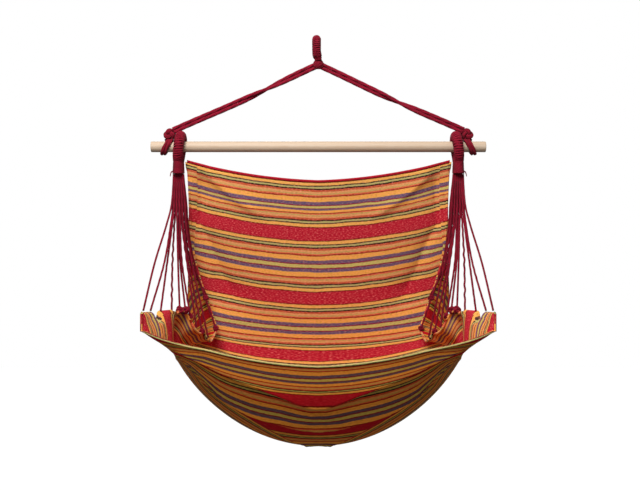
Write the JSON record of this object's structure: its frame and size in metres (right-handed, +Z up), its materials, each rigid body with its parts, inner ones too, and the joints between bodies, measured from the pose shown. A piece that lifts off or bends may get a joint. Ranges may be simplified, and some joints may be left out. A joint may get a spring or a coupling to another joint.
{
  "type": "hammock chair",
  "caption": "Hanging hammock chair: a striped cloth sling hung by fans of cords from a wooden spreader bar, with a rope eye for a ceiling hook.",
  "frame": {"origin": "the point inside the top eye that bears on the ceiling hook, at the top of the eye's opening", "axes": "+Z up; X along the spreader bar; the sitter faces -Y, so the backrest is on the +Y side"},
  "size_m": [1, 0.431, 1.2283],
  "materials": {
    "bar_wood": "bare pine, lightly sanded",
    "crimson_rope": "soft laid cotton rope",
    "crimson_cord": "soft laid cotton cord",
    "burgundy_rope": "soft laid cotton rope",
    "striped_cloth": "coarse woven cotton with woven stripes",
    "crimson_hem": "rolled hem of the same cotton"
  },
  "bodies": {
    "hook_eye": {"top_eye_rope": "burgundy_rope", "top_eye_serving": "crimson_cord"},
    "neck_bundle": {"neck_rope_bundle": "crimson_rope"},
    "neck_binding": {"neck_whipping": "crimson_cord"},
    "yoke": {"spreader_bar": "bar_wood", "hitch_left": "burgundy_rope", "hitch_right": "burgundy_rope", "hitch_knot_left": "crimson_rope", "hitch_knot_right": "crimson_rope", "suspension_rope_left_1": "crimson_rope", "suspension_rope_left_2": "crimson_rope", "suspension_rope_right_1": "crimson_rope", "suspension_rope_right_2": "crimson_rope"},
    "sling": {"side_loop_left": "burgundy_rope", "side_loop_right": "burgundy_rope", "side_loop_serving_left": "crimson_cord", "side_loop_serving_right": "crimson_cord", "collar_left": "crimson_cord", "collar_right": "crimson_cord", "whipping_tail_left": "burgundy_rope", "whipping_tail_right": "burgundy_rope", "fan_cord_left_1": "crimson_cord", "fan_cord_left_2": "crimson_cord", "fan_cord_left_3": "crimson_cord", "fan_cord_left_4": "crimson_cord", "fan_cord_left_5": "crimson_cord", "fan_cord_left_6": "crimson_cord", "fan_cord_left_7": "crimson_cord", "fan_cord_left_8": "crimson_cord", "fan_cord_left_9": "crimson_cord", "fan_cord_left_10": "crimson_cord", "fan_cord_left_11": "crimson_cord", "fan_cord_left_12": "crimson_cord", "fan_cord_right_1": "crimson_cord", "fan_cord_right_2": "crimson_cord", "fan_cord_right_3": "crimson_cord", "fan_cord_right_4": "crimson_cord", "fan_cord_right_5": "crimson_cord", "fan_cord_right_6": "crimson_cord", "fan_cord_right_7": "crimson_cord", "fan_cord_right_8": "crimson_cord", "fan_cord_right_9": "crimson_cord", "fan_cord_right_10": "crimson_cord", "fan_cord_right_11": "crimson_cord", "fan_cord_right_12": "crimson_cord", "seat_cloth": "striped_cloth", "top_hem": "crimson_hem", "front_hem": "striped_cloth", "side_hem_left": "striped_cloth", "side_hem_right": "striped_cloth"}
  },
  "joints": [
    {"name": "twist", "type": "hinge", "parent": "hook_eye", "child": "neck_bundle", "pos_m": [0, 0, -0.061], "axis": [0, 0, 1], "range_deg": [-90, 90]},
    {"name": "side_rock", "type": "hinge", "parent": "neck_bundle", "child": "neck_binding", "pos_m": [0, 0, -0.061], "axis": [0, 1, 0], "range_deg": [-12, 12]},
    {"name": "swing", "type": "hinge", "parent": "neck_binding", "child": "yoke", "pos_m": [0, 0, -0.061], "axis": [1, 0, 0], "range_deg": [-35, 35]},
    {"name": "sling_tilt", "type": "hinge", "parent": "yoke", "child": "sling", "pos_m": [0, 0, -0.307], "axis": [1, 0, 0], "range_deg": [-20, 20]}
  ]
}
